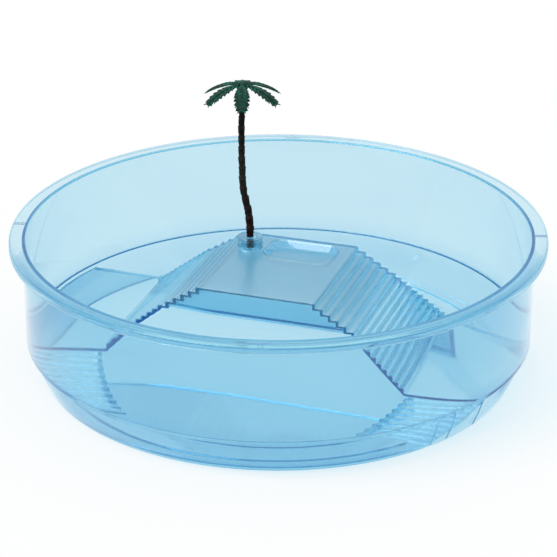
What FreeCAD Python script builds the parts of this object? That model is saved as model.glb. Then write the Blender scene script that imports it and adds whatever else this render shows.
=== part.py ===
import FreeCAD, Part
import math
import os

# A round turtle tank of clear pale blue plastic, moulded in one piece with its rim, pool and island,
# and a plastic palm that plugs into a boss on the island.
# Millimetres. The origin is the centre of the foot's resting plane, +Z is up and the island's steps
# go down to +X and -X.

V = FreeCAD.Vector
UP = V(0, 0, 1)
CENTRE = V(0, 0, 0)

# the moulding's skin and the walls' lean
SKIN = 2.2
DRAFT_DEG = 1.5

# rim and wall
RIM_R = 200.0
RIM_H = 106.0
RIM_EDGE = 2.0
RIM_EASE = 0.6
LIP_H = 5.0
LIP_T = 1.8
FLANGE_W = 10.0
LEDGE_Z = 26.0
LEDGE_IN = 2.5
LEDGE_EASE = 0.8

# skirt below the ledge, and foot
SKIRT_RUN = 10.0
SKIRT_BULGE = 0.8
FOOT_EASE = 0.8
FOOT_W = 12.5
FOOT_LIFT = 1.5
BEAD_IN = 17.0
BEAD_LIFT = 1.0

# island: platform, broad steps, ribbed ramp, shelf
PLATFORM_X = 46.0
PLATFORM_Y = 55.0
PLATFORM_Z = 76.0
STEP_N = 5
STEP_RUN = 6.0
STEP_RISE = 3.68
RAMP_N = 10
RAMP_RUN = 4.2
SHELF_Y = 61.0
SHELF_Z = 25.0

# ribbed stairs from each shelf down to the pool
STAIR_BAND = 58.0
STAIR_N = 10
STAIR_RUN = 4.4
RIB_SKIN = 1.8
RIB_CORNER = 1.0

# dish sunk in the rear of the platform
DISH_X = (-20.5, 34.0)
DISH_Y = (17.0, 50.5)
DISH_CORNER_R = 11.0
DISH_SLOPE = 4.0
DISH_DEPTH = 5.0

# boss and palm
BOSS_X = -32.6
BOSS_Y = 29.3
BOSS_R = 9.8
BOSS_H = 8.5
BOSS_LEAN = 0.3
TUBE_R = 5.0
PLUG_R = 2.8
PLUG_L = 8.5
PLUG_GAP = 0.1
PALM_SIDES = 12
TRUNK_R = 3.4
TRUNK_TOP_R = 2.3
TRUNK_L = 114.0
TRUNK_RINGS = 12
RING_FLARE = 0.5
RING_SHARE = 0.85
TRUNK_BOW = 7.2
BOW_SPAN = 1.6
TRUNK_TOP_SHIFT = 5.85
PEG_R = 1.3
PEG_L = 5.0
PEG_GAP = 0.05
HUB_R = 4.2
HUB_LIP = 0.4
HUB_H = 5.2
HUB_SHOULDER = 0.7
HUB_TIP = 0.2
FROND_START = 2.2
FROND_SEAT = 0.85
FROND_N = 6
FROND_L = 30.0
FROND_W = 6.0
FROND_T = 0.9
FROND_SAG = 2.5
FROND_DROP = 11.0
FROND_TEETH = 7
FROND_FLATS = 6
FROND_TOOTH = 1.9
TOOTH_REACH = 0.8
LEAF_START = 0.12
LEAF_SPAN = 0.72
TIP_L = 1.0
SPINE_W = 0.6
SPINE_H = 0.5
VIEW_TURN = -71.5

# small marks of the mould
FOOT_RIBS_DEG = (-34.5, -29.5, -20.0)
FOOT_RIB_W = 0.8
FOOT_RIB_OUT = 0.5
RIM_MARK_DEG = 15.0
RIM_MARK_GAP = 2.6
RIM_MARK_W = 0.8
RIM_MARK_DEEP = 0.5

WALL_R = RIM_R - FLANGE_W
SKIRT_TOP_R = WALL_R - LEDGE_IN
SKIRT_MIDDLE_R = SKIRT_TOP_R - SKIRT_RUN / 2 + SKIRT_BULGE
FOOT_R = SKIRT_TOP_R - SKIRT_RUN
FOOT_IN_R = FOOT_R - FOOT_W
BEAD_R = FOOT_IN_R - BEAD_IN
STAIR_IN_R = WALL_R - STAIR_BAND
FLOOR_Z = FOOT_LIFT + SKIN
STEP_END_X = PLATFORM_X + STEP_N * STEP_RUN
STEP_END_Z = PLATFORM_Z - STEP_N * STEP_RISE
RAMP_END_X = STEP_END_X + RAMP_N * RAMP_RUN
RAMP_RISE = (STEP_END_Z - SHELF_Z) / RAMP_N
STAIR_RISE = (SHELF_Z - FLOOR_Z) / STAIR_N
STAIR_END_Y = SHELF_Y + STAIR_N * STAIR_RUN
BOSS_TOP_Z = PLATFORM_Z + BOSS_H


def rounded_wire(corners, chords=False):
    """Closed wire through (point, radius) corners, rounded by arcs or by two chords each."""
    ends = []
    edges = []
    count = len(corners)
    for i in range(count):
        point, radius = corners[i]
        back = (corners[i - 1][0] - point).normalize()
        ahead = (corners[(i + 1) % count][0] - point).normalize()
        if radius <= 0:
            ends.append((point, point))
            continue
        half = back.getAngle(ahead) / 2
        reach = radius / math.tan(half)
        start = point + back * reach
        stop = point + ahead * reach
        bisector = (back + ahead).normalize()
        middle = point + bisector * (radius / math.sin(half) - radius)
        ends.append((start, stop))
        if chords:
            edges.append(Part.makeLine(start, middle))
            edges.append(Part.makeLine(middle, stop))
        else:
            edges.append(Part.Arc(start, middle, stop).toShape())
    for i in range(count):
        stop = ends[i - 1][1]
        start = ends[i][0]
        if stop.distanceToPoint(start) > 1e-6:
            edges.append(Part.makeLine(stop, start))
    return Part.Wire(Part.__sortEdges__(edges))


def inset(points, depth):
    """The open line of (r, z) points moved to its right-hand side by depth."""
    moved = []
    last = len(points) - 1
    for i, (r, z) in enumerate(points):
        normals = []
        for j in (i - 1, i):
            if 0 <= j < last:
                dr = points[j + 1][0] - points[j][0]
                dz = points[j + 1][1] - points[j][1]
                size = math.hypot(dr, dz)
                normals.append((dz / size, -dr / size))
        nr = sum(n[0] for n in normals)
        nz = sum(n[1] for n in normals)
        scale = depth * len(normals) / (nr * nr + nz * nz)
        moved.append((r + nr * scale, z + nz * scale))
    return moved


def turned(corners, angle=360.0):
    """Solid of revolution from ((r, z), radius) corners, each rounded by two chords."""
    wire = rounded_wire([(V(r, 0, z), radius) for (r, z), radius in corners], True)
    return Part.Face(wire).revolve(CENTRE, UP, angle)


def skirt_line():
    """Outside of the moulding from the wall's top down to the centre of its underside."""
    return [
        (WALL_R, RIM_H - SKIN),
        (WALL_R, LEDGE_Z),
        (SKIRT_TOP_R, LEDGE_Z),
        (SKIRT_MIDDLE_R, LEDGE_Z / 2),
        (FOOT_R, 0.0),
        (FOOT_IN_R, 0.0),
        (FOOT_IN_R, FOOT_LIFT),
        (BEAD_R, FOOT_LIFT),
        (BEAD_R, FOOT_LIFT + BEAD_LIFT),
        (0.0, FOOT_LIFT + BEAD_LIFT),
    ]


def bowl():
    """Rim, wall, skirt, foot and pool floor as one turned skin."""
    flange = [
        (RIM_R - RIM_EDGE, RIM_H),
        (RIM_R - RIM_EASE, RIM_H - RIM_EASE),
        (RIM_R, RIM_H - RIM_EDGE),
        (RIM_R, RIM_H - LIP_H),
        (RIM_R - LIP_T, RIM_H - LIP_H),
        (RIM_R - LIP_T, RIM_H - SKIN),
    ]
    outside = skirt_line()
    eases = [0.0] * len(outside)
    eases[1] = LEDGE_EASE
    eases[4] = FOOT_EASE
    outer = [(point, 0.0) for point in flange] + list(zip(outside, eases)) + [((0.0, RIM_H), 0.0)]
    return turned(outer).cut(room(SKIN, None))


def room(depth, bottom):
    """Turned solid that fills the bowl, depth inside its outer face, down to the height bottom.

    With no bottom given it stands on the pool floor.
    """
    side = inset(skirt_line(), depth)
    side[0] = (side[0][0], RIM_H)
    if bottom is not None:
        (r, z), (foot_r, foot_z) = side[3:5]
        foot_r = r + (foot_r - r) * (bottom - z) / (foot_z - z)
        side = side[:4] + [(foot_r, bottom), (0.0, bottom)]
    return turned([(point, 0.0) for point in side] + [((0.0, RIM_H), 0.0)])


def stepped(start, top, count, run, rise):
    """Points of a flight going down and out from (start, top), without its first corner."""
    points = []
    for i in range(count):
        points.append((start + i * run, top - i * rise))
        points.append((start + i * run, top - (i + 1) * rise))
    return points


def island_heights():
    """Upper outline of platform, steps, ramp and shelf over the half x > 0."""
    points = stepped(PLATFORM_X, PLATFORM_Z, STEP_N, STEP_RUN, STEP_RISE)
    points += stepped(STEP_END_X, STEP_END_Z, RAMP_N, RAMP_RUN, RAMP_RISE)
    points.append((WALL_R, SHELF_Z))
    return points


def island_underside():
    """The same outline for the hollow: it follows the broad steps and runs smooth under the ribs."""
    points = stepped(PLATFORM_X - SKIN, PLATFORM_Z - SKIN, STEP_N, STEP_RUN, STEP_RISE)
    slope = math.hypot(RAMP_RUN, RAMP_RISE) / RAMP_RUN
    drop = RAMP_RISE + RIB_SKIN * slope
    start_x = STEP_END_X - SKIN
    start_z = STEP_END_Z - drop + SKIN * RAMP_RISE / RAMP_RUN
    end_z = SHELF_Z - SKIN
    points.append((start_x, STEP_END_Z - SKIN))
    points.append((start_x, start_z))
    points.append((start_x + (start_z - end_z) * RAMP_RUN / RAMP_RISE, end_z))
    points.append((WALL_R, end_z))
    return points


def stair_heights():
    """Upper outline of shelf and ribbed stairs over the half y > 0."""
    points = stepped(SHELF_Y, SHELF_Z, STAIR_N, STAIR_RUN, STAIR_RISE)
    points.append((STAIR_END_Y, FLOOR_Z))
    return points


def stair_underside(bottom):
    """The same outline for the hollow under the ribs, down to the height bottom."""
    slope = math.hypot(STAIR_RUN, STAIR_RISE) / STAIR_RUN
    start_z = SHELF_Z - STAIR_RISE - RIB_SKIN * slope
    end_y = SHELF_Y + (start_z - bottom) * STAIR_RUN / STAIR_RISE
    return [(SHELF_Y - SKIN, SHELF_Z - SKIN), (SHELF_Y - SKIN, start_z + RIB_CORNER), (end_y, bottom)]


def across(points, bottom, along):
    """Prism under a half outline and its mirror image, right across the bowl."""
    right = points + [(points[-1][0], bottom)]
    left = [(-a, z) for a, z in right[::-1]]
    outline = []
    for a, z in left + right:
        corner = V(a, -WALL_R, z) if along == "x" else V(-WALL_R, a, z)
        if not outline or outline[-1].distanceToPoint(corner) > 1e-6:
            outline.append(corner)
    outline.append(outline[0])
    sweep = V(0, 2 * WALL_R, 0) if along == "x" else V(2 * WALL_R, 0, 0)
    return Part.Face(Part.makePolygon(outline)).extrude(sweep)


def island_plan(depth, z):
    """Outline of island and shelves at height z, depth inside their sides."""
    lean = (PLATFORM_Z - z) * math.tan(math.radians(DRAFT_DEG))
    narrow = PLATFORM_Y - depth + lean
    wide = SHELF_Y - depth
    half = [(STEP_END_X, narrow), (RAMP_END_X, wide), (WALL_R, wide)]
    corners = [V(x, -y, z) for x, y in half]
    corners += [V(x, y, z) for x, y in half[::-1]]
    corners += [V(-x, y, z) for x, y in half]
    corners += [V(-x, -y, z) for x, y in half[::-1]]
    return Part.makePolygon(corners + corners[:1])


def side_ring(depth, bottom):
    """Band between the stairs' inner face and the wall, on the +X and -X sides."""
    lean = (SHELF_Z - bottom) * math.tan(math.radians(DRAFT_DEG))
    height = SHELF_Z - bottom
    disc = Part.makeCylinder(WALL_R, height, V(0, 0, bottom))
    hole = Part.makeCone(STAIR_IN_R + depth - lean, STAIR_IN_R + depth, height, V(0, 0, bottom))
    middle = Part.makeBox(2 * RAMP_END_X, 2 * WALL_R, height, V(-RAMP_END_X, -WALL_R, bottom))
    front = Part.makeBox(2 * RAMP_END_X, WALL_R, height, V(-RAMP_END_X, PLATFORM_Y, bottom))
    rear = front.mirror(CENTRE, V(0, 1, 0))
    return disc.cut(hole).cut(middle.cut(front).cut(rear))


def mound(depth, bottom, heights, stairs):
    """Island, shelves and stairs as a solid block, or the hollow inside them."""
    plan = Part.makeLoft([island_plan(depth, bottom), island_plan(depth, PLATFORM_Z)], True, True)
    island = plan.common(across(heights, bottom, "x"))
    flights = side_ring(depth, bottom).common(across(stairs, bottom, "y"))
    return island.fuse(flights)


def dish(grow):
    """Sunk dish of the platform; grow gives the larger body that wraps it from below."""
    wires = []
    for z, narrower in ((PLATFORM_Z, 0.0), (PLATFORM_Z - DISH_DEPTH - grow, DISH_SLOPE)):
        x0 = DISH_X[0] + narrower - grow
        x1 = DISH_X[1] - narrower + grow
        y0 = DISH_Y[0] + narrower - grow
        y1 = DISH_Y[1] - narrower + grow
        radius = DISH_CORNER_R - narrower + grow
        plan = [V(x0, y0, z), V(x1, y0, z), V(x1, y1, z), V(x0, y1, z)]
        wires.append(rounded_wire([(corner, radius) for corner in plan]))
    return Part.makeLoft(wires, True, True)


def at_boss(radius, low, high):
    """Upright cylinder on the boss's axis."""
    return Part.makeCylinder(radius, high - low, V(BOSS_X, BOSS_Y, low))


def boss_cone(depth, low, high):
    """The boss, or the space depth inside its side, from low to high."""
    radius = BOSS_R - depth
    return Part.makeCone(radius, radius - BOSS_LEAN, high - low, V(BOSS_X, BOSS_Y, low))


def foot_rib(angle):
    """Thin upright rib on the skirt."""
    band = skirt_line()[2:5]
    corners = inset(band, -FOOT_RIB_OUT) + inset(band, SKIN / 2)[::-1]
    width = math.degrees(FOOT_RIB_W / FOOT_R)
    rib = turned([(corner, 0.0) for corner in corners], width)
    rib.rotate(CENTRE, UP, angle - width / 2)
    height = LEDGE_Z + SKIN / 2 - FOOT_LIFT
    return rib.common(Part.makeCylinder(RIM_R, height, V(0, 0, FOOT_LIFT)))


def rim_mark(angle):
    """A pair of thin grooves across the flange."""
    grooves = []
    for side in (-1, 1):
        middle = side * RIM_MARK_GAP / 2
        corner = V(WALL_R, middle - RIM_MARK_W / 2, RIM_H - RIM_MARK_DEEP)
        groove = Part.makeBox(RIM_R - WALL_R + 1, RIM_MARK_W, SKIN, corner)
        groove.rotate(CENTRE, UP, angle)
        grooves.append(groove)
    return grooves


def tank():
    """The whole clear moulding."""
    under = -SKIN
    solid = mound(0.0, FOOT_LIFT, island_heights(), stair_heights())
    solid = solid.common(room(SKIN / 2, FOOT_LIFT / 2))
    hollow = mound(SKIN, under, island_underside(), stair_underside(under))
    hollow = hollow.common(room(SKIN, under))
    hollow = hollow.cut(dish(SKIN))
    core = boss_cone(SKIN, PLATFORM_Z - 2 * SKIN, BOSS_TOP_Z - SKIN)
    tube = at_boss(TUBE_R, PLATFORM_Z - 2 * SKIN, BOSS_TOP_Z)
    shape = bowl().fuse(solid)
    shape = shape.fuse(boss_cone(0.0, PLATFORM_Z - SKIN, BOSS_TOP_Z))
    shape = shape.cut(hollow)
    shape = shape.cut(dish(0.0))
    shape = shape.cut(core.cut(tube))
    shape = shape.cut(at_boss(PLUG_R + PLUG_GAP, BOSS_TOP_Z - PLUG_L - PLUG_GAP, BOSS_TOP_Z))
    shape = shape.fuse([foot_rib(angle) for angle in FOOT_RIBS_DEG])
    for quarter in range(4):
        for groove in rim_mark(RIM_MARK_DEG + 90 * quarter):
            shape = shape.cut(groove)
    return shape.removeSplitter()


def trunk_middle(share):
    """Centre of the trunk at a share of its length: a slight bow with the top swung back."""
    sideways = -TRUNK_BOW * math.sin(math.pi * share / BOW_SPAN) + (TRUNK_BOW - TRUNK_TOP_SHIFT) * share ** 3
    turn = math.radians(VIEW_TURN + 90)
    x = BOSS_X + sideways * math.cos(turn)
    y = BOSS_Y + sideways * math.sin(turn)
    return V(x, y, BOSS_TOP_Z + TRUNK_L * share)


def flat_sided(sections):
    """Body through (centre, radius) sections, each a level polygon."""
    wires = []
    for centre, radius in sections:
        corners = []
        for i in range(PALM_SIDES + 1):
            angle = math.radians(VIEW_TURN) + 2 * math.pi * i / PALM_SIDES
            corners.append(centre + V(radius * math.cos(angle), radius * math.sin(angle), 0))
        wires.append(Part.makePolygon(corners))
    return Part.makeLoft(wires, True, True)


def trunk():
    """Ringed palm trunk with a plug below and a peg on top."""
    sections = []
    for ring in range(TRUNK_RINGS):
        share = ring / TRUNK_RINGS
        radius = TRUNK_R + (TRUNK_TOP_R - TRUNK_R) * share
        sections.append((trunk_middle(share), radius - RING_FLARE))
        sections.append((trunk_middle(share + RING_SHARE / TRUNK_RINGS), radius))
    sections.append((trunk_middle(1.0), TRUNK_TOP_R))
    plug = at_boss(PLUG_R, BOSS_TOP_Z - PLUG_L, BOSS_TOP_Z)
    peg = Part.makeCylinder(PEG_R, PEG_L, trunk_middle(1.0))
    return flat_sided(sections).fuse([plug, peg]).removeSplitter()


def arched_band(above, below, half_width):
    """Arched strip along +X, from above to below the frond's middle line, in short flats."""
    line = Part.Arc(
        V(FROND_START, 0, 0),
        V(FROND_L / 2, 0, -FROND_SAG),
        V(FROND_L, 0, -FROND_DROP),
    ).toShape()
    centre = line.Curve.Center
    radius = line.Curve.Radius
    low, high = line.ParameterRange
    corners = []
    for shift in (above, -below):
        scale = (radius + shift) / radius
        side = []
        for i in range(FROND_FLATS + 1):
            point = line.valueAt(low + (high - low) * i / FROND_FLATS)
            side.append(centre + (point - centre) * scale)
        corners += side if shift == above else side[::-1]
    face = Part.Face(Part.makePolygon(corners + corners[:1]))
    face.translate(V(0, -half_width, 0))
    return face.extrude(V(0, 2 * half_width, 0))


def frond():
    """One arched leaf with toothed edges and a raised spine, pointing along +X."""
    side = [V(FROND_START, SPINE_W, 0)]
    for tooth in range(FROND_TEETH):
        share = tooth / FROND_TEETH
        swell = math.sin(math.pi * (LEAF_START + LEAF_SPAN * share))
        x = HUB_R + (FROND_L - TIP_L - HUB_R) * share
        side.append(V(x, (FROND_W - FROND_TOOTH) * swell, 0))
        side.append(V(x + TOOTH_REACH * (FROND_L - TIP_L - HUB_R) / FROND_TEETH, FROND_W * swell, 0))
    tip = V(FROND_L, 0, 0)
    outline = side + [tip] + [V(p.x, -p.y, 0) for p in side[::-1]]
    plan = Part.Face(Part.makePolygon(outline + outline[:1])).extrude(V(0, 0, 4 * FROND_DROP))
    plan.translate(V(0, 0, -2 * FROND_DROP))
    leaf = arched_band(0.0, FROND_T, 2 * FROND_W).common(plan)
    return leaf.fuse(arched_band(SPINE_H, FROND_T, SPINE_W))


def crown():
    """Green palm crown: a hub with arched fronds all round."""
    base = trunk_middle(1.0)
    hub = flat_sided([
        (base, TRUNK_TOP_R + HUB_LIP),
        (base + V(0, 0, HUB_H), HUB_R),
        (base + V(0, 0, HUB_H + HUB_SHOULDER * HUB_R), HUB_SHOULDER * HUB_R),
        (base + V(0, 0, HUB_H + HUB_R), HUB_TIP * HUB_R),
    ])
    leaves = []
    for i in range(FROND_N):
        leaf = frond()
        leaf.translate(V(0, 0, HUB_H + HUB_R * FROND_SEAT))
        leaf.rotate(CENTRE, UP, VIEW_TURN + 360.0 * i / FROND_N)
        leaf.translate(base)
        leaves.append(leaf)
    body = hub.fuse(leaves)
    hole = Part.makeCylinder(PEG_R + PEG_GAP, PEG_L + PEG_GAP, base)
    return body.cut(hole).removeSplitter()


os.makedirs("parts", exist_ok=True)
for name, shape in (("tank", tank()), ("palm_trunk", trunk()), ("palm_crown", crown())):
    shape.exportStep(os.path.join("parts", name + ".step"))
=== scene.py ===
import bpy
import bmesh
import math
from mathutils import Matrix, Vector


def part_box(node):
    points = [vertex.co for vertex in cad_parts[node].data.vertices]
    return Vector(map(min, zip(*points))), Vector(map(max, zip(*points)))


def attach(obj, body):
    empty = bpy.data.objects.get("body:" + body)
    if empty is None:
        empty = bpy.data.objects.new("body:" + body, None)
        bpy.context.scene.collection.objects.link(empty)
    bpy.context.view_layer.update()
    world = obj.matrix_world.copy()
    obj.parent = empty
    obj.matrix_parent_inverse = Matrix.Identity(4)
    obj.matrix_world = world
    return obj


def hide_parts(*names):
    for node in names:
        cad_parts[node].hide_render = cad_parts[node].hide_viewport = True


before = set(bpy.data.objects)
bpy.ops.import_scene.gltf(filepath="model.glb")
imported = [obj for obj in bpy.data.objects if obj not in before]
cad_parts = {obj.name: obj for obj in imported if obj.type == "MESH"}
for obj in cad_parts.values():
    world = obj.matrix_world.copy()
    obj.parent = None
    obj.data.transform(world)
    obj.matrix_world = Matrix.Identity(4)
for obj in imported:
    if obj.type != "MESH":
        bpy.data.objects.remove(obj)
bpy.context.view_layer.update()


# The tank: one clear, pale blue moulding of rim, wall, foot, pool floor and hollow island.
# The plastic is tinted through its whole thickness, so its edges and the places where
# several skins lie behind each other are a deeper blue.
TANK_IOR = 1.49
SKIN_TINT = (0.66, 0.845, 0.930, 1.0)
DEPTH_TINT = (0.10, 0.74, 0.88, 1.0)
DEPTH_DENSITY = 60.0
SHADOW_TINT = (0.91, 0.965, 0.99, 1.0)
DEEPEST_RAY = 14.0
# painted shade: the deeper blue of the foot band
FOOT_PAINTED_SHADE = (0.55, 0.775, 0.90, 1.0)
FOOT_TOP = 0.040
FOOT_FULL = 0.022
FOOT_INSIDE = 0.170
EDGE_ANGLE = math.radians(24)
EDGE_SOFTNESS = 0.0007
WELD_GAP = 1e-6
FLOW_SCALE = 14.0
FLOW_STRENGTH = 0.12
FLOW_DEPTH = 0.002
GLOSS_RANGE = (0.02, 0.06)
DULL_LOW = 0.056
DULL_HIGH = 0.090
DULLNESS = 0.22
LEVEL_FACE = 0.9
BOSS_AXIS = (-0.0326, 0.0293, 0.0)
BOSS_REACH = 0.011


def add(tree, kind, feeds, **settings):
    """Add a node, set what it does, and feed its inputs from sockets or with plain values."""
    node = tree.nodes.new(kind)
    for setting, value in settings.items():
        setattr(node, setting, value)
    for slot, value in feeds.items():
        if isinstance(value, bpy.types.NodeSocket):
            tree.links.new(value, node.inputs[slot])
        else:
            node.inputs[slot].default_value = value
    return node


def reckon(tree, operation, *terms):
    """A sum on sockets and plain numbers."""
    return add(tree, "ShaderNodeMath", dict(enumerate(terms)), operation=operation).outputs["Value"]


def new_plastic(name):
    """A plastic, its node tree, its shader and the place in the piece that its patterns read."""
    plastic = bpy.data.materials.new(name)
    plastic.use_nodes = True
    tree = plastic.node_tree
    place = add(tree, "ShaderNodeTexCoord", {}).outputs["Object"]
    return plastic, tree, tree.nodes["Principled BSDF"], place


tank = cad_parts["tank"].copy()
tank.data = tank.data.copy()
tank.name = "tank_moulding"
bpy.context.scene.collection.objects.link(tank)
skin = bmesh.new()
skin.from_mesh(tank.data)
bmesh.ops.remove_doubles(skin, verts=skin.verts, dist=WELD_GAP)
for face in skin.faces:
    face.smooth = True
for edge in skin.edges:
    edge.smooth = len(edge.link_faces) == 2 and edge.calc_face_angle(0.0) < EDGE_ANGLE
skin.to_mesh(tank.data)
skin.free()
if "custom_normal" in tank.data.attributes:
    tank.data.attributes.remove(tank.data.attributes["custom_normal"])

clear_plastic, tree, shader, place = new_plastic("clear_blue_plastic")
links = tree.links
shader.inputs["Transmission Weight"].default_value = 1.0
shader.inputs["IOR"].default_value = TANK_IOR
height = add(tree, "ShaderNodeSeparateXYZ", {"Vector": place}).outputs["Z"]
footprint = add(
    tree, "ShaderNodeVectorMath", {0: place, 1: (1.0, 1.0, 0.0)}, operation="MULTIPLY").outputs["Vector"]

# the moulding's faces are a little uneven, and its edges are eased
flow = add(tree, "ShaderNodeTexNoise", {"Scale": FLOW_SCALE, "Detail": 1.0, "Vector": place}).outputs["Fac"]
eased = add(tree, "ShaderNodeBevel", {"Radius": EDGE_SOFTNESS}, samples=4).outputs["Normal"]
swell = add(tree, "ShaderNodeBump", {
    "Strength": FLOW_STRENGTH, "Distance": FLOW_DEPTH, "Height": flow, "Normal": eased})
links.new(swell.outputs["Normal"], shader.inputs["Normal"])

# the platform, the steps beside it and the boss have a duller finish, which hides most of the plug
facing = add(tree, "ShaderNodeNewGeometry", {}).outputs["True Normal"]
upright = add(tree, "ShaderNodeSeparateXYZ", {"Vector": facing}).outputs["Z"]
dull = reckon(tree, "GREATER_THAN", reckon(tree, "ABSOLUTE", upright), LEVEL_FACE)
dull = reckon(tree, "MULTIPLY", dull, reckon(tree, "GREATER_THAN", height, DULL_LOW))
dull = reckon(tree, "MULTIPLY", dull, reckon(tree, "LESS_THAN", height, DULL_HIGH))
from_boss = add(
    tree, "ShaderNodeVectorMath", {0: footprint, 1: BOSS_AXIS}, operation="DISTANCE").outputs["Value"]
dull = reckon(tree, "MAXIMUM", dull, reckon(tree, "LESS_THAN", from_boss, BOSS_REACH))
haze = add(tree, "ShaderNodeMapRange", {
    "Value": flow, "To Min": GLOSS_RANGE[0], "To Max": GLOSS_RANGE[1]}).outputs["Result"]
links.new(reckon(tree, "MULTIPLY_ADD", dull, DULLNESS, haze), shader.inputs["Roughness"])

# the band where the bowl turns in to its foot is painted a deeper blue, as painted shade for the darker look
# of several skins seen there at a slant
from_middle = add(tree, "ShaderNodeVectorMath", {0: footprint}, operation="LENGTH").outputs["Value"]
low = add(tree, "ShaderNodeMapRange", {"Value": height, "From Min": FOOT_TOP, "From Max": FOOT_FULL})
foot = reckon(
    tree, "MULTIPLY", reckon(tree, "GREATER_THAN", from_middle, FOOT_INSIDE), low.outputs["Result"])
FACTOR_IN, FIRST_COLOUR_IN, SECOND_COLOUR_IN, COLOUR_OUT = 0, 6, 7, 2
tone = add(
    tree, "ShaderNodeMix", {FACTOR_IN: foot, FIRST_COLOUR_IN: SKIN_TINT, SECOND_COLOUR_IN: FOOT_PAINTED_SHADE},
    data_type="RGBA")
links.new(tone.outputs[COLOUR_OUT], shader.inputs["Base Color"])

# soft light and shadow rays pass straight through the skin, so the tank's shadow stays pale, and so does
# a ray that has been thrown about inside the skin many times, as it leaves a real one at its eased edges
path = add(tree, "ShaderNodeLightPath", {})
lit = reckon(tree, "MAXIMUM", path.outputs["Is Shadow Ray"], path.outputs["Is Diffuse Ray"])
caught = reckon(tree, "GREATER_THAN", path.outputs["Ray Depth"], DEEPEST_RAY)
passing = add(tree, "ShaderNodeBsdfTransparent", {"Color": SHADOW_TINT})
either = add(tree, "ShaderNodeMixShader", {
    "Fac": reckon(tree, "MAXIMUM", lit, caught), 1: shader.outputs["BSDF"], 2: passing.outputs["BSDF"]})
tint = add(tree, "ShaderNodeVolumeAbsorption", {"Color": DEPTH_TINT, "Density": DEPTH_DENSITY})
links.new(either.outputs["Shader"], tree.nodes["Material Output"].inputs["Surface"])
links.new(tint.outputs["Volume"], tree.nodes["Material Output"].inputs["Volume"])

tank.data.materials.clear()
tank.data.materials.append(clear_plastic)
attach(tank, "root")
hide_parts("tank")


# The palm's trunk: a ringed, dark brown moulding that plugs into the boss on the island.
# It leaves the boss upright, kinks to one side near its foot and then stands almost straight, and each
# ring flares upwards to a ragged edge. Its paint is nearly black above, olive lower down and red-brown below.
TRUNK_RINGS = 14
RING_STATIONS = (0.0, 0.35, 0.72, 0.97)
RING_NECK = 0.80
RING_FLARE = 0.6
TRUNK_FOOT_Z = 0.0845
TRUNK_TOP_Z = 0.1984
PLUG_END_Z = 0.0761
PLUG_TOP_Z = TRUNK_FOOT_Z - 0.0002
PLUG_RADIUS = 0.0028
FOOT_RADIUS = 0.0032
TOP_RADIUS = 0.0024
SWAY_TURN = math.radians(18.5)
TRUNK_SWAY = (
    (0.0, 0.0), (0.08, 0.0), (0.17, -0.0009), (0.25, -0.0030), (0.33, -0.0048), (0.42, -0.0055),
    (0.58, -0.0060), (0.75, -0.0061), (0.88, -0.0057), (1.0, -0.0053),
)
TRUNK_SIDES = 14
RAGGED = 0.0014
RAGGED_SCALE = 420.0
PAINT_UP_THE_TRUNK = (
    (0.08, (0.014, 0.0035, 0.0045, 1.0)),
    (0.28, (0.008, 0.0045, 0.004, 1.0)),
    (0.45, (0.014, 0.014, 0.010, 1.0)),
    (0.68, (0.008, 0.0075, 0.006, 1.0)),
    (0.90, (0.0015, 0.0012, 0.0012, 1.0)),
)
BARK_SCALE = 520.0
BARK_DEPTH = 0.0006
RUBBED_FROM = (0.35, 0.70)
RUBBED_TO = (0.5, 1.8)


def sway_at(share):
    """How far the trunk stands to the side at a share of its height."""
    for (low_share, low_sway), (high_share, high_sway) in zip(TRUNK_SWAY, TRUNK_SWAY[1:]):
        if share <= high_share:
            part = (share - low_share) / (high_share - low_share)
            return low_sway + (high_sway - low_sway) * part * part * (3 - 2 * part)


def fill_ramp(ramp, stops):
    """Give a colour ramp its stops, from the first to the last."""
    for element, (share, colour) in zip(ramp.elements, (stops[0], stops[-1])):
        element.position = share
        element.color = colour
    for share, colour in stops[1:-1]:
        ramp.elements.new(share).color = colour


def new_tree(name, inputs, output):
    """A Geometry Nodes tree with its named inputs and its one output."""
    tree = bpy.data.node_groups.new(name, "GeometryNodeTree")
    for label, kind in inputs:
        tree.interface.new_socket(label, in_out="INPUT", socket_type="NodeSocket" + kind)
    tree.interface.new_socket(output, in_out="OUTPUT", socket_type="NodeSocketGeometry")
    return tree, tree.nodes.new("NodeGroupInput").outputs, tree.nodes.new("NodeGroupOutput").inputs[output]


def end_tree(tree, made, plastic, result):
    """Make what a tree has made real, give it its plastic and hand it out."""
    real = add(tree, "GeometryNodeRealizeInstances", {"Geometry": made})
    coloured = add(tree, "GeometryNodeSetMaterial", {
        "Geometry": real.outputs["Geometry"], "Material": plastic})
    tree.links.new(coloured.outputs["Geometry"], result)


def grow(path_mesh, name, tree, sizes):
    """The plain mesh, as an object, that a tree makes of a path."""
    grown = bpy.data.objects.new(name, path_mesh)
    bpy.context.scene.collection.objects.link(grown)
    growth = grown.modifiers.new(tree.name, "NODES")
    growth.node_group = tree
    for socket in tree.interface.items_tree:
        if socket.in_out == "INPUT" and socket.name in sizes:
            growth[socket.identifier] = sizes[socket.name]
    ready = grown.evaluated_get(bpy.context.evaluated_depsgraph_get())
    mesh = bpy.data.meshes.new_from_object(ready)
    grown.modifiers.remove(growth)
    grown.data = mesh
    return grown


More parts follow.
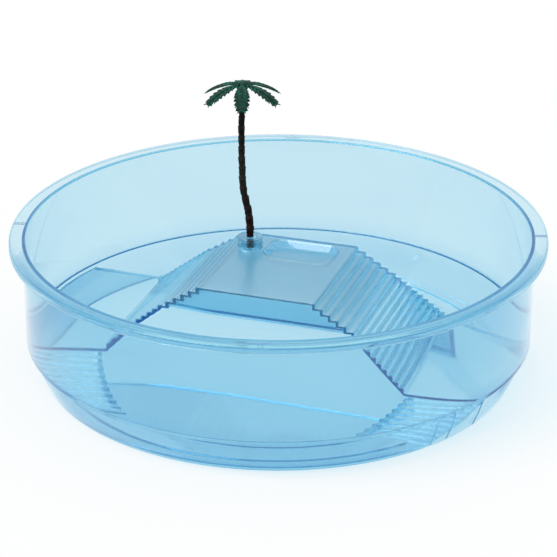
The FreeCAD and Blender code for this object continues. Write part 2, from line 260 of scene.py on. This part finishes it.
points = [(BOSS_AXIS[0], BOSS_AXIS[1], PLUG_END_Z), (BOSS_AXIS[0], BOSS_AXIS[1], PLUG_TOP_Z)]
girths = [PLUG_RADIUS, PLUG_RADIUS]
for ring in range(TRUNK_RINGS):
    for station in RING_STATIONS:
        share = (ring + station) / TRUNK_RINGS
        sway = sway_at(share)
        points.append((
            BOSS_AXIS[0] + sway * math.cos(SWAY_TURN),
            BOSS_AXIS[1] + sway * math.sin(SWAY_TURN),
            TRUNK_FOOT_Z + (TRUNK_TOP_Z - TRUNK_FOOT_Z) * share))
        full = FOOT_RADIUS + (TOP_RADIUS - FOOT_RADIUS) * share
        girths.append(full * (RING_NECK + (1 - RING_NECK) * station ** RING_FLARE))
trunk_path = bpy.data.meshes.new("trunk_path")
trunk_path.from_pydata(points, [(n, n + 1) for n in range(len(points) - 1)], [])
girth = trunk_path.attributes.new("girth", "FLOAT", "POINT")
for n, radius in enumerate(girths):
    girth.data[n].value = radius

bark, tree, shader, place = new_plastic("trunk_plastic")
grain = add(tree, "ShaderNodeTexNoise", {"Scale": BARK_SCALE, "Detail": 4.0, "Vector": place}).outputs["Fac"]
height = add(tree, "ShaderNodeSeparateXYZ", {"Vector": place}).outputs["Z"]
climb = add(tree, "ShaderNodeMapRange", {
    "Value": height, "From Min": TRUNK_FOOT_Z, "From Max": TRUNK_TOP_Z}).outputs["Result"]
paint = add(tree, "ShaderNodeValToRGB", {"Fac": climb})
fill_ramp(paint.color_ramp, PAINT_UP_THE_TRUNK)
rubbed = add(tree, "ShaderNodeMapRange", {
    "Value": grain, "From Min": RUBBED_FROM[0], "From Max": RUBBED_FROM[1],
    "To Min": RUBBED_TO[0], "To Max": RUBBED_TO[1]}).outputs["Result"]
worn = add(
    tree, "ShaderNodeVectorMath", {0: paint.outputs["Color"], "Scale": rubbed}, operation="SCALE")
rough = add(tree, "ShaderNodeBump", {"Strength": 0.6, "Distance": BARK_DEPTH, "Height": grain})
tree.links.new(worn.outputs["Vector"], shader.inputs["Base Color"])
tree.links.new(rough.outputs["Normal"], shader.inputs["Normal"])
shader.inputs["Roughness"].default_value = 0.6
shader.inputs["Specular IOR Level"].default_value = 0.12

tree, given, result = new_tree(
    "bark_along_trunk", (("Path", "Geometry"), ("Sides", "Int"), ("Ragged", "Float")), "Bark")
line = add(tree, "GeometryNodeMeshToCurve", {"Mesh": given["Path"]})
thick = add(tree, "GeometryNodeInputNamedAttribute", {"Name": "girth"}, data_type="FLOAT")
circle = add(tree, "GeometryNodeCurvePrimitiveCircle", {"Radius": 1.0, "Resolution": given["Sides"]})
rings = add(tree, "GeometryNodeCurveToMesh", {
    "Curve": line.outputs["Curve"], "Profile Curve": circle.outputs["Curve"],
    "Scale": thick.outputs["Attribute"], "Fill Caps": True})
# the plug below the foot stays even, and every ring above it is torn a little
bits = add(tree, "ShaderNodeTexNoise", {"Scale": RAGGED_SCALE, "Detail": 1.0}).outputs["Color"]
centred = add(
    tree, "ShaderNodeVectorMath", {0: bits, 1: (0.5, 0.5, 0.5)}, operation="SUBTRACT").outputs["Vector"]
shift = add(tree, "ShaderNodeVectorMath", {0: centred, "Scale": given["Ragged"]}, operation="SCALE")
spot = add(tree, "GeometryNodeInputPosition", {}).outputs["Position"]
above = add(tree, "ShaderNodeSeparateXYZ", {"Vector": spot}).outputs["Z"]
free = add(
    tree, "FunctionNodeCompare", {"A": above, "B": TRUNK_FOOT_Z}, data_type="FLOAT",
    operation="GREATER_THAN")
torn = add(tree, "GeometryNodeSetPosition", {
    "Geometry": rings.outputs["Mesh"], "Selection": free.outputs["Result"],
    "Offset": shift.outputs["Vector"]})
end_tree(tree, torn.outputs["Geometry"], bark, result)

trunk = grow(trunk_path, "trunk_bark", tree, {"Sides": TRUNK_SIDES, "Ragged": RAGGED})
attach(trunk, "root")
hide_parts("palm_trunk")


# The palm's crown: a dark green moulding of arched, toothed fronds round a hub.
# It is pushed on the trunk's top, and its own dark green is painted deeper still, as painted shade between
# the leaflets.
FROND_GREENS_WITH_PAINTED_SHADE = ((0.30, (0.0008, 0.018, 0.013, 1.0)), (0.72, (0.003, 0.065, 0.044, 1.0)))
MOTTLE_SCALE = 260.0


def leaf_plastic(name, greens):
    """The crown's mottled green, from its dark to its light stop."""
    leaf, tree, shader, place = new_plastic(name)
    mottle = add(tree, "ShaderNodeTexNoise", {"Scale": MOTTLE_SCALE, "Detail": 3.0, "Vector": place})
    ramp = add(tree, "ShaderNodeValToRGB", {"Fac": mottle.outputs["Fac"]})
    fill_ramp(ramp.color_ramp, greens)
    tree.links.new(ramp.outputs["Color"], shader.inputs["Base Color"])
    shader.inputs["Roughness"].default_value = 0.5
    shader.inputs["Specular IOR Level"].default_value = 0.15
    return leaf


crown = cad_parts["palm_crown"]
crown.data.materials.clear()
# the crown's green is deepened as painted shade between the leaflets
crown.data.materials.append(leaf_plastic("leaf_plastic", FROND_GREENS_WITH_PAINTED_SHADE))


# The leaflets: raised blades moulded on top of each frond, in pairs that slant out from its spine.
# They are one moulding with the crown, and they are painted a lighter green than the frond below them, as
# painted light where they catch more light.
LEAFLET_GREENS_WITH_PAINTED_LIGHT = ((0.30, (0.001, 0.050, 0.034, 1.0)), (0.72, (0.012, 0.260, 0.165, 1.0)))
FRONDS = 6
FROND_TURN = math.radians(-71.5)
FROND_LINE = ((0.0040, -0.0001), (0.0095, -0.0010), (0.0160, -0.0031), (0.0225, -0.0062), (0.0285, -0.0099))
HUB_FOOT_BAND = 0.0005
CROWN_TOP_GAP = 0.0006
LEAFLET_PAIRS = 9
LEAFLET_LENGTH = 0.0082
LEAFLET_WIDTH = 0.0016
LEAFLET_THICK = 0.0013
LEAFLET_SPLAY = math.radians(50)
LEAFLET_FALL = math.radians(8)
BLADE_FACETS = 6

crown_low, crown_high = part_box("palm_crown")
hub = [v.co for v in crown.data.vertices if v.co.z < crown_low.z + HUB_FOOT_BAND]
hub_x = sum(co.x for co in hub) / len(hub)
hub_y = sum(co.y for co in hub) / len(hub)
seat_z = crown_high.z - CROWN_TOP_GAP
points = []
lines = []
for frond in range(FRONDS):
    turn = FROND_TURN + 2 * math.pi * frond / FRONDS
    for step, (reach, rise) in enumerate(FROND_LINE):
        points.append((hub_x + reach * math.cos(turn), hub_y + reach * math.sin(turn), seat_z + rise))
        if step > 0:
            lines.append((len(points) - 2, len(points) - 1))
frond_spines = bpy.data.meshes.new("frond_spines")
frond_spines.from_pydata(points, lines, [])

tree, given, result = new_tree(
    "leaflets_on_fronds",
    (("Spines", "Geometry"), ("Pairs", "Int"), ("Length", "Float"), ("Width", "Float"),
     ("Thickness", "Float"), ("Splay", "Float"), ("Fall", "Float")), "Leaflets")
curve = add(tree, "GeometryNodeMeshToCurve", {"Mesh": given["Spines"]}).outputs["Curve"]
smooth = add(
    tree, "GeometryNodeCurveSplineType", {"Curve": curve}, spline_type="CATMULL_ROM").outputs["Curve"]
spread = add(tree, "GeometryNodeCurveToPoints", {"Curve": smooth, "Count": given["Pairs"]}, mode="COUNT")

blade = add(tree, "GeometryNodeMeshUVSphere", {
    "Segments": BLADE_FACETS, "Rings": BLADE_FACETS, "Radius": 0.5}).outputs["Mesh"]
size = add(tree, "ShaderNodeCombineXYZ", {
    "X": given["Length"], "Y": given["Width"], "Z": given["Thickness"]}).outputs["Vector"]
half = reckon(tree, "MULTIPLY", given["Length"], 0.5)
ahead = add(tree, "ShaderNodeCombineXYZ", {"X": half}).outputs["Vector"]
shaped = add(tree, "GeometryNodeTransform", {"Geometry": blade, "Scale": size, "Translation": ahead})

along = add(
    tree, "FunctionNodeAxesToRotation",
    {"Primary Axis": spread.outputs["Tangent"], "Secondary Axis": (0.0, 0.0, 1.0)},
    primary_axis="X", secondary_axis="Z").outputs["Rotation"]
number = add(tree, "GeometryNodeInputIndex", {}).outputs["Index"]
share = reckon(tree, "DIVIDE", reckon(tree, "MODULO", number, given["Pairs"]), given["Pairs"])
# the blades are longest before the middle of the frond and shortest at its tip
swell = add(tree, "ShaderNodeFloatCurve", {"Value": share})
profile = swell.mapping.curves[0].points
for x, y in ((0.3, 1.0), (0.6, 0.95)):
    profile.new(x, y)
profile[0].location = (0.0, 0.60)
profile[-1].location = (1.0, 0.35)
swell.mapping.update()

both_sides = add(tree, "GeometryNodeJoinGeometry", {})
for side in (-1.0, 1.0):
    slant = add(tree, "ShaderNodeCombineXYZ", {
        "Y": given["Fall"], "Z": reckon(tree, "MULTIPLY", given["Splay"], side)}).outputs["Vector"]
    turned = add(tree, "FunctionNodeEulerToRotation", {"Euler": slant}).outputs["Rotation"]
    placed = add(
        tree, "FunctionNodeRotateRotation", {"Rotation": along, "Rotate By": turned},
        rotation_space="LOCAL")
    row = add(tree, "GeometryNodeInstanceOnPoints", {
        "Points": spread.outputs["Points"], "Instance": shaped.outputs["Geometry"],
        "Rotation": placed.outputs["Rotation"], "Scale": swell.outputs["Value"]})
    tree.links.new(row.outputs["Instances"], both_sides.inputs["Geometry"])
# the leaflets' lighter green is painted light
end_tree(tree, both_sides.outputs["Geometry"], leaf_plastic("leaflet_plastic_painted_light", LEAFLET_GREENS_WITH_PAINTED_LIGHT), result)

leaflets = grow(frond_spines, "crown_leaflets", tree, {
    "Pairs": LEAFLET_PAIRS, "Length": LEAFLET_LENGTH, "Width": LEAFLET_WIDTH,
    "Thickness": LEAFLET_THICK, "Splay": LEAFLET_SPLAY, "Fall": LEAFLET_FALL})
for face in leaflets.data.polygons:
    face.use_smooth = True
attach(leaflets, "root")


# The studio: a white floor that keeps a pale shadow, a white surround, a broad soft lamp and the camera.
# Floor and surround glow for rays that see them straight, mirrored or through the plastic, and light less.
FLOOR_HALF = 6.0
FLOOR_DROP = 0.0005
FLOOR_SHADE = (0.55, 0.55, 0.55, 1.0)
FLOOR_GLOW = 0.42
SURROUND_LEVEL = 0.55
KEY_ANGLE = math.radians(35)
KEY_ENERGY = 1.9
KEY_PLACE = Vector((-0.9, -0.8, 1.8))
CAMERA_LENS = 154.7
CAMERA_PLACE = Vector((0.5191, -1.5515, 0.809))
CAMERA_AIM = Vector((0, 0, 0.0662))
BOUNCES = 32


def seen_by(tree):
    """1 for a ray that shows the studio in the picture, 0 for a ray that only lights something."""
    path = add(tree, "ShaderNodeLightPath", {})
    seen = reckon(tree, "MAXIMUM", path.outputs["Is Camera Ray"], path.outputs["Is Transmission Ray"])
    return reckon(tree, "MAXIMUM", seen, path.outputs["Is Glossy Ray"])


def aimed(direction):
    """The turn of a lamp or a camera that looks in a direction."""
    return direction.to_track_quat("-Z", "Y").to_euler()


plane = bpy.data.meshes.new("floor")
plane.from_pydata(
    [(-FLOOR_HALF, -FLOOR_HALF, 0), (FLOOR_HALF, -FLOOR_HALF, 0),
     (FLOOR_HALF, FLOOR_HALF, 0), (-FLOOR_HALF, FLOOR_HALF, 0)],
    [], [(0, 1, 2, 3)])
floor = bpy.data.objects.new("floor", plane)
floor.location.z = -FLOOR_DROP
bpy.context.scene.collection.objects.link(floor)
floor_paint = bpy.data.materials.new("floor_paint")
floor_paint.use_nodes = True
tree = floor_paint.node_tree
tree.nodes.remove(tree.nodes["Principled BSDF"])
matt = add(tree, "ShaderNodeBsdfDiffuse", {"Color": FLOOR_SHADE})
glow = add(tree, "ShaderNodeEmission", {"Strength": reckon(tree, "MULTIPLY", seen_by(tree), FLOOR_GLOW)})
both = add(tree, "ShaderNodeAddShader", {0: matt.outputs["BSDF"], 1: glow.outputs["Emission"]})
tree.links.new(both.outputs["Shader"], tree.nodes["Material Output"].inputs["Surface"])
plane.materials.append(floor_paint)

world = bpy.data.worlds.new("surround")
bpy.context.scene.world = world
world.use_nodes = True
tree = world.node_tree
level = add(tree, "ShaderNodeMapRange", {"Value": seen_by(tree), "To Min": SURROUND_LEVEL, "To Max": 1.0})
tree.nodes["Background"].inputs["Color"].default_value = (1, 1, 1, 1)
tree.links.new(level.outputs["Result"], tree.nodes["Background"].inputs["Strength"])

lamp = bpy.data.lights.new("key_lamp", "SUN")
lamp.angle = KEY_ANGLE
lamp.energy = KEY_ENERGY
holder = bpy.data.objects.new("key_lamp", lamp)
holder.location = KEY_PLACE
holder.rotation_euler = aimed(-KEY_PLACE)
bpy.context.scene.collection.objects.link(holder)

# light runs along inside the clear skin, so each kind of ray is followed far
cycles = bpy.context.scene.cycles
cycles.max_bounces = BOUNCES
cycles.glossy_bounces = BOUNCES
cycles.transmission_bounces = BOUNCES
cycles.transparent_max_bounces = BOUNCES

lens = bpy.data.cameras.new("camera")
lens.lens = CAMERA_LENS
lens.sensor_width = 36.0
lens.clip_end = 20.0
camera = bpy.data.objects.new("camera", lens)
camera.location = CAMERA_PLACE
camera.rotation_euler = aimed(CAMERA_AIM - CAMERA_PLACE)
bpy.context.scene.collection.objects.link(camera)
bpy.context.scene.camera = camera
bpy.context.scene.view_settings.view_transform = "Standard"
